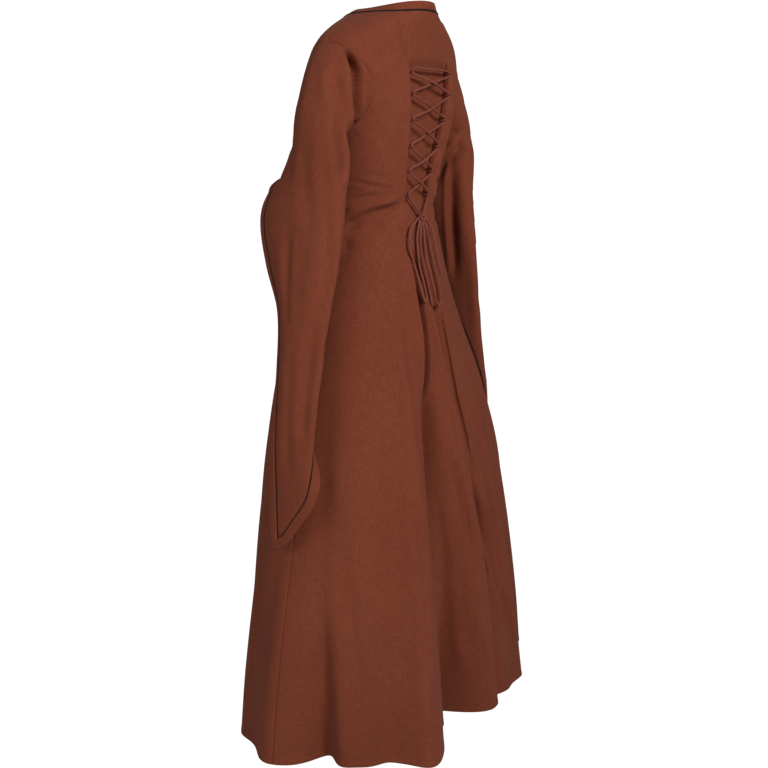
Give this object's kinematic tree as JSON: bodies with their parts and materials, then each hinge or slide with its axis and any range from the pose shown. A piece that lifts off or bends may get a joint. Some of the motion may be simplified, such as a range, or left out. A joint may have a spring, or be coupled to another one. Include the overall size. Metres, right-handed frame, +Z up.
{
  "type": "medieval gown",
  "caption": "Full-length brown medieval gown with a laced back and long pointed trumpet sleeves, worn form with no wearer.",
  "frame": {"origin": "between the shoulders, level with the shoulder seams, where the wearer holds the gown up", "axes": "+Z up from hem to neck, -Y toward the gown's front, +X toward the wearer's left"},
  "size_m": [0.8108, 0.5242, 1.4663],
  "materials": {
    "cloth": "matte plain weave",
    "piping": "dark satin cord",
    "lace": "matte rouleau of the cloth"
  },
  "bodies": {
    "root": {"front_panel": "cloth", "side_back_left": "cloth", "side_back_right": "cloth", "centre_back": "cloth", "neck_band": "cloth", "sleeve_left": "cloth", "sleeve_right": "cloth", "cuff_band_left": "cloth", "cuff_band_right": "cloth", "neck_piping": "piping", "cuff_piping_left": "piping", "cuff_piping_right": "piping", "loop_strip_left": "lace", "loop_strip_right": "lace", "lace_strand_1": "lace", "lace_strand_2": "lace", "lace_knot": "lace", "bow_loop_left": "lace", "bow_loop_right": "lace", "lace_tail_left": "lace", "lace_tail_right": "lace"}
  },
  "joints": []
}
